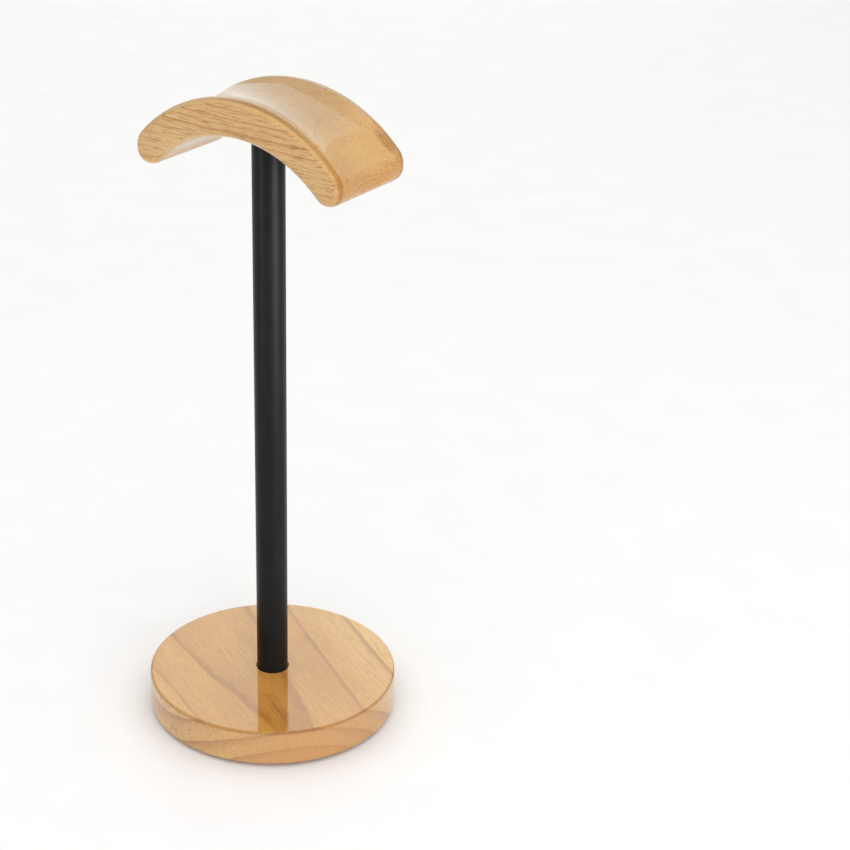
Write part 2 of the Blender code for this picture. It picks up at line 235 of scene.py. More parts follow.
def carved(name, mesh, cutter_mesh):
    """The mesh with the cutter's shape taken out of it."""
    body = bpy.data.objects.new(name + "_uncut", mesh)
    cutter = bpy.data.objects.new(name + "_cutter", cutter_mesh)
    for obj in (body, cutter):
        bpy.context.scene.collection.objects.link(obj)
    modifier = body.modifiers.new("Cut", "BOOLEAN")
    modifier.operation = "DIFFERENCE"
    modifier.solver = "EXACT"
    modifier.object = cutter
    graph = bpy.context.evaluated_depsgraph_get()
    result = bpy.data.meshes.new_from_object(body.evaluated_get(graph))
    result.name = name
    bpy.data.objects.remove(body)
    bpy.data.objects.remove(cutter)
    return result


def add_object(name, data):
    """Puts a mesh, light or camera in the scene."""
    obj = bpy.data.objects.new(name, data)
    bpy.context.scene.collection.objects.link(obj)
    return obj


def add_piece(name, mesh, material, node, sharp_above=SMOOTH_ANGLE):
    """Puts a finished mesh in the scene in place of a CAD node."""
    mesh.shade_smooth()
    mesh.set_sharp_from_angle(angle=sharp_above)
    mesh.materials.clear()
    mesh.materials.append(material)
    piece = add_object(name, mesh)
    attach(piece, "root")
    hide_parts(node)
    return piece


# --- node helpers -------------------------------------------------------------------------------

class Shader:
    """One material's node tree, with short calls for the nodes that repeat."""

    def __init__(self, name):
        self.material = bpy.data.materials.new(name)
        self.material.use_nodes = True
        self.tree = self.material.node_tree
        self.surface = self.tree.nodes["Principled BSDF"]

    def node(self, kind, inputs, **settings):
        node = self.tree.nodes.new(kind)
        for key, value in settings.items():
            setattr(node, key, value)
        for key, value in inputs.items():
            self.feed(node.inputs[key], value)
        return node

    def feed(self, socket, value):
        if isinstance(value, bpy.types.NodeSocket):
            self.tree.links.new(value, socket)
        else:
            socket.default_value = value

    def set(self, **values):
        """Feeds the surface's sockets, named with underscores for spaces."""
        for key, value in values.items():
            self.feed(self.surface.inputs[key.replace("_", " ")], value)

    def math(self, operation, first, second=0.0):
        return self.node("ShaderNodeMath", {0: first, 1: second}, operation=operation).outputs[0]

    def product(self, first, *others):
        for other in others:
            first = self.math("MULTIPLY", first, other)
        return first

    def vector(self, operation, first, second=(0.0, 0.0, 0.0)):
        node = self.node("ShaderNodeVectorMath", {0: first, 1: second}, operation=operation)
        return node.outputs["Value" if operation in ("LENGTH", "DOT_PRODUCT") else "Vector"]

    def millimetres(self, turn=(0.0, 0.0, 0.0)):
        """Object coordinates in millimetres, turned by the given Euler angles."""
        source = self.node("ShaderNodeTexCoord", {}).outputs["Object"]
        inputs = {"Vector": source, "Scale": (MILLIMETRES,) * 3, "Rotation": turn}
        return self.node("ShaderNodeMapping", inputs).outputs[0]

    def noise(self, place, lengths, detail=2.0, roughness=0.5, output="Fac"):
        """Noise whose features are about the given lengths in millimetres along each axis."""
        scaled = self.vector("DIVIDE", place, lengths)
        inputs = {"Vector": scaled, "Scale": 1.0, "Detail": detail, "Roughness": roughness}
        return self.node("ShaderNodeTexNoise", inputs).outputs[output]

    def ramp(self, value, low, high, to_low=0.0, to_high=1.0):
        """A smooth step from to_low at low and below to to_high at high and above."""
        inputs = {0: value, 1: low, 2: high, 3: to_low, 4: to_high}
        node = self.node("ShaderNodeMapRange", inputs, interpolation_type="SMOOTHSTEP")
        return node.outputs[0]

    def curve(self, value, stops):
        """A grey ramp through (position, level) stops."""
        node = self.node("ShaderNodeValToRGB", {"Fac": value})
        elements = node.color_ramp.elements
        while len(elements) < len(stops):
            elements.new(0.5)
        for element, (position, level) in zip(elements, stops):
            element.position = position
            element.color = (level, level, level, 1.0)
        return node.outputs["Color"]

    def mix(self, share, first, second, blend="MIX"):
        node = self.node("ShaderNodeMix", {}, data_type="RGBA", blend_type=blend)
        self.feed(node.inputs[0], share)
        self.feed(node.inputs[6], (*first, 1.0) if isinstance(first, tuple) else first)
        self.feed(node.inputs[7], (*second, 1.0) if isinstance(second, tuple) else second)
        return node.outputs[2]

    def bump(self, height, depth, strength):
        """A normal roughened by a height that is depth metres deep where it is 1."""
        inputs = {"Height": height, "Distance": depth, "Strength": strength}
        return self.node("ShaderNodeBump", inputs).outputs[0]


# --- wood ---------------------------------------------------------------------------------------

class Wood(Shader):
    """Lacquered wood, made in order: grow, paint, darken a patch, paint shade on lying faces and
    rounded edges, and lacquer. Its growth rings lie round a pith that runs along the grain, so
    that a line on a face that lies runs on down the side. Lengths are in millimetres, and places
    are in a frame that is turned until the grain runs along its X."""

    def __init__(self, name, grain_turn, upright, level):
        """grain_turn is that turn, as Euler angles. The rings and dashes show at the upright
        and level strengths on faces that stand and lie."""
        super().__init__(name)
        self.place = self.millimetres(grain_turn)
        self.normal = self.node("ShaderNodeTexCoord", {}).outputs["Normal"]
        grain_way = Euler(grain_turn).to_matrix().transposed() @ Vector((1, 0, 0))
        self.end_on = self.facing(tuple(grain_way))
        self.lying = self.facing((0.0, 0.0, 1.0))
        self.figure = self.ramp(self.lying, 0.30, 0.85, upright, level)
        self.fibre = self.noise(self.place, FIBRE_SIZE, detail=4.0, roughness=0.6)
        self.fleck = self.noise(self.place, FLECK_SIZE, detail=2.0)

    def facing(self, axis):
        """1 where the surface faces straight along the axis, either way, and 0 beside it."""
        return self.math("ABSOLUTE", self.vector("DOT_PRODUCT", self.normal, axis))

    def wander(self, lengths, reach, detail):
        """A smooth random shift, up to about half the reach along each axis."""
        shift = self.noise(self.place, lengths, detail=detail, output="Color")
        return self.vector("MULTIPLY", self.vector("SUBTRACT", shift, (0.5, 0.5, 0.5)), reach)

    def grow(self, pith, ring_width, sway, first_ring=0.0, jitter=0.0, wide_beyond=None):
        """Lays the rings. pith is the (across, height) place of their centre line, ring_width
        the growth of one season from first_ring on, made uneven by jitter and bent by sway.
        Past the radius wide_beyond the seasons grew wider."""
        drift = self.wander(DRIFT_SIZE, sway, detail=1.0)
        ripple = self.wander(RIPPLE_SIZE, RIPPLE_REACH, detail=2.0)
        self.bent = self.vector("ADD", self.vector("ADD", self.place, drift), ripple)
        from_pith = self.vector("SUBTRACT", self.bent, (0.0, *pith))
        from_pith = self.vector("MULTIPLY", from_pith, (0.0, 1.0, 1.0))
        self.radius = self.vector("LENGTH", from_pith)
        seasons = self.math("ADD", self.math("DIVIDE", self.radius, ring_width), first_ring)
        if wide_beyond:
            past = self.math("MAXIMUM", self.math("SUBTRACT", self.radius, wide_beyond), 0.0)
            slower = self.product(past, WIDER_SEASONS / ring_width)
            seasons = self.math("SUBTRACT", seasons, slower)
        if jitter:
            inputs = {"W": seasons, "Scale": 0.8, "Detail": 1.0}
            uneven = self.node("ShaderNodeTexNoise", inputs, noise_dimensions="1D")
            seasons = self.math("ADD", seasons, self.product(uneven.outputs["Fac"], jitter))
        phase = self.math("FRACT", seasons)
        year = self.math("FLOOR", seasons)

        vigour = self.node("ShaderNodeTexWhiteNoise", {"W": year}, noise_dimensions="1D")
        vigour = self.ramp(vigour.outputs["Value"], 0.0, 1.0, 0.80, 1.0)
        patchy = self.ramp(self.noise(self.place, PATCH_SIZE, detail=2.0), 0.30, 0.60, 0.65, 1.0)
        self.line = self.product(self.curve(phase, LATE_WOOD), patchy, vigour, self.figure)

        pore = self.ramp(self.noise(self.place, PORE_SIZE, detail=1.0), 0.58, 0.68)
        field = self.noise(self.place, PORE_FIELD_SIZE, detail=1.0)
        field = self.ramp(field, 0.35, 0.7, 0.25, 1.0)
        self.pore = self.product(pore, self.curve(phase, EARLY_WOOD), field)

    def paint(self, pale, honey, dashes, sapwood=None, heart=None):
        """Colours the wood from blotches down to pores, and then its end grain. dashes is the
        strength of its short dark strokes. sapwood and heart are (radius from, radius to,
        strength) of the paler wood outside and the browner wood near the pith."""
        blotch = self.ramp(self.noise(self.place, BLOTCH_SIZE, detail=3.0), 0.32, 0.68)
        color = self.mix(blotch, pale, honey)
        if sapwood:
            start, end, strength = sapwood
            color = self.mix(self.ramp(self.radius, start, end, 0.0, strength), color, SAPWOOD)
        if heart:
            start, end, strength = heart
            color = self.mix(self.ramp(self.radius, start, end, strength, 0.0), color, HEARTWOOD)
        color = self.mix(self.ramp(self.fibre, 0.30, 0.70, 0.0, 0.40), color, honey)
        color = self.mix(self.ramp(self.fibre, 0.50, 0.78, 0.0, 0.45), color, RING_BROWN)
        color = self.mix(self.line, color, RING_BROWN)
        dash = self.noise(self.place, DASH_SIZE, detail=3.0, roughness=0.6)
        dash = self.product(self.ramp(dash, 0.51, 0.66), self.figure, dashes)
        color = self.mix(dash, color, DASH_BROWN)
        color = self.mix(self.ramp(self.fleck, 0.50, 0.70, 0.0, 0.32), color, pale)
        color = self.mix(self.product(self.pore, 0.60), color, PORE_BROWN)
        end_on = self.math("POWER", self.end_on, 3.0)
        color = self.mix(self.product(end_on, 0.60), color, END_GRAIN)
        ray = self.noise(self.place, RAY_SIZE, detail=3.0, roughness=0.6)
        ray = self.product(self.ramp(ray, 0.48, 0.72), end_on, 0.40)
        self.color = self.mix(ray, color, RING_BROWN)

    def darken_patch(self, center, radii, strength, streakiness):
        """Darkens a patch of the colour, broken up along the fibres."""
        away = self.vector("DIVIDE", self.vector("SUBTRACT", self.bent, center), radii)
        away = self.math("ADD", self.vector("LENGTH", away), self.product(self.fleck, 0.6))
        streaks = self.ramp(self.fibre, 0.40, 0.60, 1.0 - streakiness, 1.0)
        share = self.product(self.ramp(away, 0.7, 1.4, strength, 0.0), streaks)
        self.color = self.mix(share, self.color, DARK_PATCH_BROWN)

    def shade_lying_faces(self, tint):
        """Paints shade on the faces that lie: their colour is multiplied by the tint."""
        share = self.ramp(self.lying, 0.78, 0.95)
        self.color = self.mix(share, self.color, tint, blend="MULTIPLY")

    def shade_rounded_edge(self, axis, start, growth):
        """Paints shade on a thin band of the rounded edge that starts at this distance along the
        axis, both in the part's own frame. The painted shade grows from nothing to full over the
        growth range along the grain."""
        out = self.math("ABSOLUTE", self.vector("DOT_PRODUCT", self.millimetres(), axis))
        begins = self.ramp(out, start - EDGE_SOFTNESS, start + EDGE_SOFTNESS)
        ends = self.ramp(out, start + EDGE_BAND[0], start + EDGE_BAND[1], 1.0, 0.0)
        turned_away = self.ramp(self.facing(axis), 0.86, 0.96, 1.0, 0.0)
        along = self.vector("DOT_PRODUCT", self.place, (1.0, 0.0, 0.0))
        share = self.product(begins, ends, turned_away, self.ramp(along, *growth))
        self.color = self.mix(share, self.color, EDGE_PAINTED_SHADE, blend="MULTIPLY")

    def lacquer(self, weight, ior):
        """Finishes the surface under a gloss coat, and returns the material."""
        height = self.math("SUBTRACT", self.product(self.fibre, 0.4), self.pore)
        peel = self.noise(self.place, PEEL_SIZE, detail=1.0)
        coat_height = self.math("ADD", self.product(height, 0.06), peel)
        self.set(
            Base_Color=self.color,
            Roughness=self.ramp(self.fibre, 0.3, 0.7, 0.46, 0.60),
            Specular_IOR_Level=0.12,
            Normal=self.bump(height, depth=0.00006, strength=0.5),
            Coat_Weight=weight,
            Coat_Roughness=0.07,
            Coat_IOR=ior,
            Coat_Normal=self.bump(coat_height, depth=0.00003, strength=0.5),
        )
        return self.material


def base_wood():
    """The disc's timber: wide rings that run slantwise over the top and down the side."""
    wood = Wood(
        "lacquered_base_wood",
        grain_turn=(0.0, math.radians(-2.3), math.radians(28.0)),
        upright=2.6,
        level=0.85,
    )
    wood.grow(
        pith=(-12.0, -42.0),
        ring_width=9.35,
        sway=(0.0, 2.5, 1.2),
        first_ring=0.19,
        wide_beyond=74.0,
    )
    wood.paint(
        BASE_PALE,
        BASE_HONEY,
        dashes=0.35,
        sapwood=(68.0, 88.0, 0.8),
        heart=(45.0, 55.0, 0.6),
    )
    # A dark streak just in front of the post: partly darker wood, partly painted shade of the post's
    # shadow and reflection.
    wood.darken_patch(center=(36.0, -14.0, 17.0), radii=(20.0, 3.6, 30.0), strength=0.6, streakiness=0.9)
    # Painted shade: the disc's faces that lie are darkened and warmed.
    wood.shade_lying_faces((0.93, 0.77, 0.50))
    # Painted shade on the disc's rounded top edge, growing in along the grain.
    edge = (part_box("base_disc")[1].z - BASE_TOP_EDGE) * MILLIMETRES
    wood.shade_rounded_edge(axis=(0.0, 0.0, 1.0), start=edge, growth=(-95.0, 10.0))
    return wood.lacquer(weight=1.0, ior=1.95)


def saddle_wood():
    """The saddle's timber: narrow rings that cross its front as level lines, and many dashes."""
    wood = Wood("lacquered_saddle_wood", grain_turn=(0.0, 0.0, 0.0), upright=0.9, level=0.12)
    wood.grow(pith=(8.0, 190.0), ring_width=3.4, sway=(0.0, 7.0, 4.0), jitter=0.7)
    wood.paint(SADDLE_PALE, SADDLE_HONEY, dashes=1.0)
    # A darker patch at the rear of the right end.
    wood.darken_patch(center=(49.0, 20.0, 291.0), radii=(9.0, 3.2, 9.0), strength=0.7, streakiness=0.4)
    # Painted shade: the saddle's faces that lie are darkened.
    wood.shade_lying_faces((0.80, 0.78, 0.85))
    # Painted shade on the saddle's rounded front and back edges, growing in along the grain.
    edge = (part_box("saddle")[1].y - RIM_WIDTH + CREST_WIDTH) * MILLIMETRES
    wood.shade_rounded_edge(axis=(0.0, 1.0, 0.0), start=edge, growth=(-14.0, 8.0))
    return wood.lacquer(weight=0.75, ior=1.58)


# --- metals, powder coat and foam ---------------------------------------------------------------

def powder_coat():
    """Satin black powder coat: a fine orange peel over a nearly black body."""
    shader = Shader("satin_powder_coat")
    place = shader.millimetres()
    peel = shader.noise(place, (0.55, 0.55, 0.55), detail=2.0, roughness=0.55)
    grit = shader.noise(place, (0.12, 0.12, 0.12), detail=1.0)
    wear = shader.noise(place, (6.0, 6.0, 14.0), detail=3.0)
    height = shader.math("ADD", peel, shader.product(grit, 0.25))
    shader.set(
        Base_Color=shader.mix(shader.ramp(wear, 0.35, 0.75), POWDER_BLACK, POWDER_WORN),
        Roughness=shader.ramp(wear, 0.3, 0.7, 0.33, 0.39),
        Specular_IOR_Level=0.13,
        Normal=shader.bump(height, depth=0.00002, strength=0.6),
    )
    return shader.material


def turned_metal(name, color, tint, mark_spacing):
    """Plated or plain turned metal: fine lathe marks and a faint cloudiness."""
    shader = Shader(name)
    place = shader.millimetres()
    marks = shader.noise(place, (2.5, 2.5, mark_spacing), detail=3.0, roughness=0.6)
    cloud = shader.noise(place, (2.2, 2.2, 2.2), detail=3.0)
    shader.set(
        Base_Color=shader.mix(shader.ramp(cloud, 0.3, 0.7), color, tint),
        Metallic=1.0,
        Roughness=shader.ramp(cloud, 0.3, 0.7, 0.24, 0.40),
        Normal=shader.bump(marks, depth=0.00002, strength=0.5),
    )
    return shader.material


def foam():
    """Dense black foam pad: closed cells and a dusty, rough face."""
    shader = Shader("foam_rubber")
    place = shader.millimetres()
    cells = shader.node("ShaderNodeTexVoronoi", {"Vector": place, "Scale": 3.2})
    dust = shader.noise(place, (1.5, 1.5, 1.5), detail=3.0)
    shader.set(
        Base_Color=shader.mix(shader.ramp(dust, 0.4, 0.75), FOAM_BLACK, FOAM_DUST),
        Roughness=shader.ramp(dust, 0.3, 0.7, 0.78, 0.92),
        Normal=shader.bump(cells.outputs["Distance"], depth=0.00008, strength=0.7),
    )
    return shader.material


# --- base ---------------------------------------------------------------------------------------

def build_base(material):
    """The disc with its eased edges, the post's seat above and the bolt's counterbore below."""
    low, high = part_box("base_disc")
    radius, bottom, top = high.x, low.z, high.z
    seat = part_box("support_tube")[1].x + GAP
    seat_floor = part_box("support_tube")[0].z - GAP
    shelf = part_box("base_washer")[1].z + GAP
    half_pi = math.pi / 2
    upper = (radius - BASE_TOP_EDGE, top - BASE_TOP_EDGE)
    lower = (radius - BASE_LOWER_EDGE, bottom + BASE_LOWER_EDGE)
    bore_edge = COUNTERBORE_RADIUS + RIM_EASE
    profile = [(seat, top - RIM_EASE), (seat + RIM_EASE, top)]
    profile += [(seat + RIM_EASE + FACE_MARGIN, top), (upper[0] - FACE_MARGIN, top)]
    profile += arc(upper, BASE_TOP_EDGE, half_pi, 0, BASE_TOP_EDGE_STEPS)
    profile += [(radius, upper[1] - FACE_MARGIN), (radius, lower[1] + FACE_MARGIN)]
    profile += arc(lower, BASE_LOWER_EDGE, 0, -half_pi, BASE_LOWER_EDGE_STEPS)
    profile += [(lower[0] - FACE_MARGIN, bottom), (bore_edge + FACE_MARGIN, bottom)]
    profile += [(bore_edge, bottom), (COUNTERBORE_RADIUS, bottom + RIM_EASE)]
    profile += [(COUNTERBORE_RADIUS, shelf), (BOLT_HOLE_RADIUS, shelf)]
    profile += [(BOLT_HOLE_RADIUS, seat_floor), (seat, seat_floor)]
    mesh = turned("wood_base", profile, WOOD_SIDES)
    add_piece("wood_base", mesh, material, "base_disc")


def build_pad(index, material):
    """A round foam foot with a softly rounded edge and a slightly sunk middle."""
    node = f"foot_pad_{index}"
    low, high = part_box(node)
    radius = (high.x - low.x) / 2
    half_pi = math.pi / 2
    upper = (radius - PAD_EDGE, high.z - PAD_EDGE)
    lower = (radius - PAD_EDGE, low.z + PAD_EDGE)
    profile = [(0, high.z), (upper[0] - PAD_EDGE, high.z)]
    profile += arc(upper, PAD_EDGE, half_pi, 0, PAD_EDGE_STEPS)
    profile += arc(lower, PAD_EDGE, 0, -half_pi, PAD_EDGE_STEPS)
    profile += [(radius * PAD_HOLLOW_SHARE, low.z + PAD_HOLLOW / 2), (0, low.z + PAD_HOLLOW)]
    mesh = turned(f"pad_{index}", profile, HARDWARE_SIDES, ring=False)
    mesh.transform(Matrix.Translation(((low.x + high.x) / 2, (low.y + high.y) / 2, 0)))
    add_piece(f"pad_{index}", mesh, material, node)


# --- post ---------------------------------------------------------------------------------------

def build_post(material):
    """The tube, with a small chamfer outside at both ends."""
    low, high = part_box("support_tube")
    outer, bottom, top = high.x, low.z, high.z
    inner = outer - TUBE_WALL
    profile = [(outer - TUBE_CHAMFER, top), (outer, top - TUBE_CHAMFER)]
    profile += [(outer, bottom + TUBE_CHAMFER), (outer - TUBE_CHAMFER, bottom)]
    profile += [(inner, bottom), (inner, top)]
    mesh = turned("post", profile, TUBE_SIDES)
    return add_piece("post", mesh, material, "support_tube")


# --- threads, screw, washers, plugs, stud and insert --------------------------------------------

def thread(start, end):
    """A radius function that winds a thread round the outside between two heights."""
    def radius_at(radius, height, angle):
        if radius < THREAD_RADIUS - TOUCH or not start < height < end:
            return radius
        turn = (height / THREAD_PITCH - angle / math.tau) % 1.0
        return radius - THREAD_DEPTH * abs(2.0 * turn - 1.0)
    return radius_at


def thread_rows(top, bottom):
    """Profile points close enough together to carry the thread."""
    steps = round((top - bottom) / THREAD_PITCH * THREAD_STEPS)
    return [(THREAD_RADIUS, top + (bottom - top) * step / steps) for step in range(steps + 1)]


def hexagon(across_flats, depth, height):
    """A hexagonal cutter that reaches the depth up and down from the height."""
    shape = bmesh.new()
    radius = across_flats / math.sqrt(3)
    bmesh.ops.create_cone(
        shape, cap_ends=True, segments=6, radius1=radius, radius2=radius, depth=2 * depth
    )
    bmesh.ops.translate(shape, verts=shape.verts, vec=(0, 0, height))
    return mesh_from(shape, "socket_cutter")


def build_screw(material):
    """The domed socket screw that holds the post, with its head down in the counterbore."""
    low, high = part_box("base_bolt")
    head_radius, tip, head_bottom = high.x, high.z, low.z
    head_top = head_bottom + BOLT_HEAD_HEIGHT
    dome_width = head_radius - BOLT_HEAD_FLAT
    dome_height = BOLT_HEAD_HEIGHT - BOLT_HEAD_RIM
    profile = [(0, tip), (THREAD_RADIUS - BOLT_CHAMFER, tip)]
    profile += thread_rows(tip - BOLT_CHAMFER, head_top)
    profile += [(head_radius - BOLT_HEAD_EDGE, head_top), (head_radius, head_top - BOLT_HEAD_EDGE)]
    for step in range(BOLT_DOME_STEPS + 1):
        angle = math.pi / 2 * step / BOLT_DOME_STEPS
        radius = BOLT_HEAD_FLAT + dome_width * math.cos(angle)
        profile.append((radius, head_top - BOLT_HEAD_RIM - dome_height * math.sin(angle)))
    profile.append((0, head_bottom))
    winding = thread(head_top + THREAD_PITCH / 2, tip)
    mesh = turned("socket_screw", profile, HARDWARE_SIDES, ring=False, radius_at=winding)
    mesh = carved("socket_screw", mesh, hexagon(SOCKET_ACROSS_FLATS, SOCKET_DEPTH, head_bottom))
    add_piece("socket_screw", mesh, material, "base_bolt")


def build_flat_washer(material):
    """The plain washer, rounded outside and chamfered at its bore."""
    low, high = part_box("base_washer")
    outer, inner, ease = high.x, BOLT_HOLE_RADIUS, FLAT_WASHER_EDGE
    half_pi = math.pi / 2
    profile = [(outer - 2 * ease, high.z)]
    profile += arc((outer - ease, high.z - ease), ease, half_pi, 0, WASHER_EDGE_STEPS)
    profile += arc((outer - ease, low.z + ease), ease, 0, -half_pi, WASHER_EDGE_STEPS)
    profile += [(inner + ease, low.z), (inner, low.z + ease)]
    profile += [(inner, high.z - ease), (inner + ease, high.z)]
    mesh = turned("flat_washer", profile, HARDWARE_SIDES)
    add_piece("flat_washer", mesh, material, "base_washer")


def build_split_washer(material):
    """A sprung ring, swept nearly all the way round, with slanted ends at its slit."""
    low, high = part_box("spring_washer")
    outer, inner, ease = high.y, SPRING_WASHER_HOLE_RADIUS, SPRING_WASHER_EDGE
    middle = (low.z + high.z) / 2
    section = [(outer - ease, high.z), (outer, high.z - ease)]
    section += [(outer, low.z + ease), (outer - ease, low.z)]
    section += [(inner + ease, low.z), (inner, low.z + ease)]
    section += [(inner, high.z - ease), (inner + ease, high.z)]
    shape = bmesh.new()
    half_slit = SLIT_WIDTH / (outer + inner)
    steps = HARDWARE_SIDES
    rows = []
    for step in range(steps + 1):
        row = []
        for radius, height in section:
            slant = (height - middle) * math.tan(SLIT_SLANT) / radius
            lean = slant * (1 - 2 * min(step, steps - step) / steps)
            angle = half_slit + (math.tau - 2 * half_slit) * step / steps - lean
            row.append(shape.verts.new((radius * math.cos(angle), radius * math.sin(angle), height)))
        rows.append(row)
    for before, after in zip(rows, rows[1:]):
        for index in range(len(section)):
            follow = (index + 1) % len(section)
            shape.faces.new((before[index], before[follow], after[follow], after[index]))
    shape.faces.new(rows[0])
    shape.faces.new(reversed(rows[-1]))
    mesh = closed_mesh_from(shape, "split_washer")
    add_piece("split_washer", mesh, material, "spring_washer")


def build_plug(name, node, material):
    """A threaded plug in the tube's end, grooved round its outside."""
    low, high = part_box(node)
    outer, bottom, top = high.x, low.z, high.z
    inner = BOLT_HOLE_RADIUS
    core = outer - PLUG_GROOVE_DEPTH
    profile = [(inner, top), (outer - PLUG_CHAMFER, top), (outer, top - PLUG_CHAMFER)]
    for groove in reversed(range(PLUG_GROOVES)):
        middle = bottom + (top - bottom) * (groove + 1) / (PLUG_GROOVES + 1)
        upper, lower = middle + PLUG_GROOVE_WIDTH / 2, middle - PLUG_GROOVE_WIDTH / 2
        profile += [(outer, upper), (core, upper), (core, lower), (outer, lower)]
    profile += [(outer, bottom + PLUG_CHAMFER), (outer - PLUG_CHAMFER, bottom), (inner, bottom)]
    add_piece(name, turned(name, profile, HARDWARE_SIDES), material, node)


def build_stud(material):
    """The stud, threaded from end to end."""
    low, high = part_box("saddle_stud")
    bottom, top = low.z, high.z
    tip = THREAD_RADIUS - BOLT_CHAMFER
    profile = [(0, top), (tip, top)]
    profile += thread_rows(top - BOLT_CHAMFER, bottom + BOLT_CHAMFER)
    profile += [(tip, bottom), (0, bottom)]
    mesh = turned("stud", profile, HARDWARE_SIDES, ring=False, radius_at=thread(bottom, top))
    add_piece("stud", mesh, material, "saddle_stud")


def build_insert(material):
    """The barbed insert in the saddle, its ribs notched like a knurl."""
    low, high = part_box("saddle_insert")
    outer, bottom, top = high.x, low.z, high.z
    core = outer - INSERT_RIB_DEPTH
    inner = BOLT_HOLE_RADIUS
    pitch = (top - bottom) / INSERT_RIBS
    profile = [(inner, top)]
    for rib in range(INSERT_RIBS):
        shoulder = top - rib * pitch
        profile.append((core, shoulder))
        profile += [(outer, shoulder - pitch * share) for share in RIB_CREST]
    profile += [(core, bottom), (inner, bottom)]

    def knurl(radius, height, angle):
        if radius < outer - TOUCH:
            return radius
        notch = math.floor(angle / math.tau * HARDWARE_SIDES + 0.5) % 2
        return radius - KNURL_DEPTH * notch

    mesh = turned("insert", profile, HARDWARE_SIDES, radius_at=knurl)
    add_piece("insert", mesh, material, "saddle_insert")


# --- saddle -------------------------------------------------------------------------------------

def dish_share(normal):
    """All of the dish along the top, fading to none as the end turns under."""
    slope = math.atan2(normal.y, abs(normal.x))
    t = (DISH_FULL_ABOVE - slope) / (DISH_FULL_ABOVE - DISH_GONE_BELOW)
    t = min(max(t, 0.0), 1.0)
    return 1.0 - t * t * (3.0 - 2.0 * t)


def saddle_outline():
    """Right half of the front outline as (point, outward normal), from the crown of the top
    to the crown of the underside, with heights counted down from the crown of the top."""
    top_center = Vector((0, -SADDLE_TOP_RADIUS))
    under_center = Vector((0, -SADDLE_CROWN - SADDLE_UNDER_RADIUS))
    shoulder_way = Vector((math.sin(SHOULDER_ANGLE), math.cos(SHOULDER_ANGLE)))
    tip_way = Vector((math.sin(TIP_ANGLE), math.cos(TIP_ANGLE)))
    shoulder = top_center + (SADDLE_TOP_RADIUS - SHOULDER_RADIUS) * shoulder_way
    tip = under_center + (SADDLE_UNDER_RADIUS + TIP_RADIUS) * tip_way
    across = tip - shoulder
    tilt = math.acos((SHOULDER_RADIUS - TIP_RADIUS) / across.length)
    end_face = math.atan2(across.y, across.x) + tilt
    up = math.pi / 2
    points = []

    def add_arc(center, radius, start, end, steps, outward=1):
        for step in range(steps + 1):
            angle = start + (end - start) * step / steps
            way = Vector((math.cos(angle), math.sin(angle)))
            points.append((center + radius * way, outward * way))

    add_arc(top_center, SADDLE_TOP_RADIUS, up, up - SHOULDER_ANGLE, SADDLE_TOP_STEPS)
    points.pop()
    add_arc(shoulder, SHOULDER_RADIUS, up - SHOULDER_ANGLE, end_face, SHOULDER_STEPS)
    add_arc(tip, TIP_RADIUS, end_face, -up - TIP_ANGLE, TIP_STEPS)
    points.pop()
    add_arc(under_center, SADDLE_UNDER_RADIUS, up - TIP_ANGLE, up, SADDLE_UNDER_STEPS, outward=-1)
    return points


def rim_section(half):
    """(depth position, inset) over the rounded front edge, from its face to its crest."""
    crest = half - RIM_WIDTH
    section = [(-half, RIM_DROP + FACE_MARGIN)]
    for step in range(RIM_STEPS + 1):
        angle = math.pi / 2 * step / RIM_STEPS
        inset = RIM_DROP * (1 - math.sin(angle))
        section.append((-crest - RIM_WIDTH * math.cos(angle), inset))
    return section


def dish_section(half, share):
    """(depth position, inset) across the dish: one wide arc, lifted until the given share of
    its depth is left, with its points drawn together towards the crests."""
    half_width = half - RIM_WIDTH - CREST_WIDTH
    radius = (half_width ** 2 + DISH_DEPTH ** 2) / (2 * DISH_DEPTH)
    left = DISH_DEPTH * share
    reach = max(math.sqrt(left * (2 * radius - left)), DISH_NARROWEST * half_width)
    section = []
    for step in range(DISH_STEPS + 1):
        y = -reach * math.cos(math.pi * step / DISH_STEPS)
        section.append((y, max(0.0, math.sqrt(radius ** 2 - y ** 2) - radius + left)))
    return section


def saddle_arch(crown, half):
    """The arch as a loft round its outline, rounded over front and back and hollowed along
    the top. crown is its height and half is half of its depth."""
    outline = saddle_outline()
    mirrored = [(Vector((-p.x, p.y)), Vector((-n.x, n.y))) for p, n in reversed(outline[1:-1])]
    front_rim = rim_section(half)
    back_rim = [(-y, inset) for y, inset in reversed(front_rim)]
    shape = bmesh.new()
    columns = []
    for point, normal in outline + mirrored:
        column = []
        for y, inset in front_rim + dish_section(half, dish_share(normal)) + back_rim:
            place = point - normal * inset
            column.append(shape.verts.new((place.x, y, crown + place.y)))
        columns.append(column)
    for column, following in zip(columns, columns[1:] + columns[:1]):
        for index in range(len(column) - 1):
            corners = (column[index], following[index], following[index + 1], column[index + 1])
            shape.faces.new(corners)
    shape.faces.new([column[0] for column in columns])
    shape.faces.new([column[-1] for column in reversed(columns)])
    return closed_mesh_from(shape, "wood_saddle")


def build_saddle(material):
    """The arch with the post's seat and the insert's pocket cut from below."""
    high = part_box("saddle")[1]
    tube_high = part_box("support_tube")[1]
    seat, seat_floor = tube_high.x + GAP, tube_high.z + GAP
    pocket, pocket_top = INSERT_POCKET_RADIUS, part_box("saddle_insert")[1].z + GAP
    below = seat_floor - 4 * SEAT_DEPTH  # the cutter reaches out past the wood
    profile = [(0, pocket_top), (pocket, pocket_top), (pocket, seat_floor)]
    profile += [(seat, seat_floor), (seat, below), (0, below)]
    cutter = turned("saddle_cutter", profile, TUBE_SIDES, ring=False)
    mesh = carved("wood_saddle", saddle_arch(high.z, high.y), cutter)
    add_piece("wood_saddle", mesh, material, "saddle", CREST_ANGLE)


# --- studio -------------------------------------------------------------------------------------

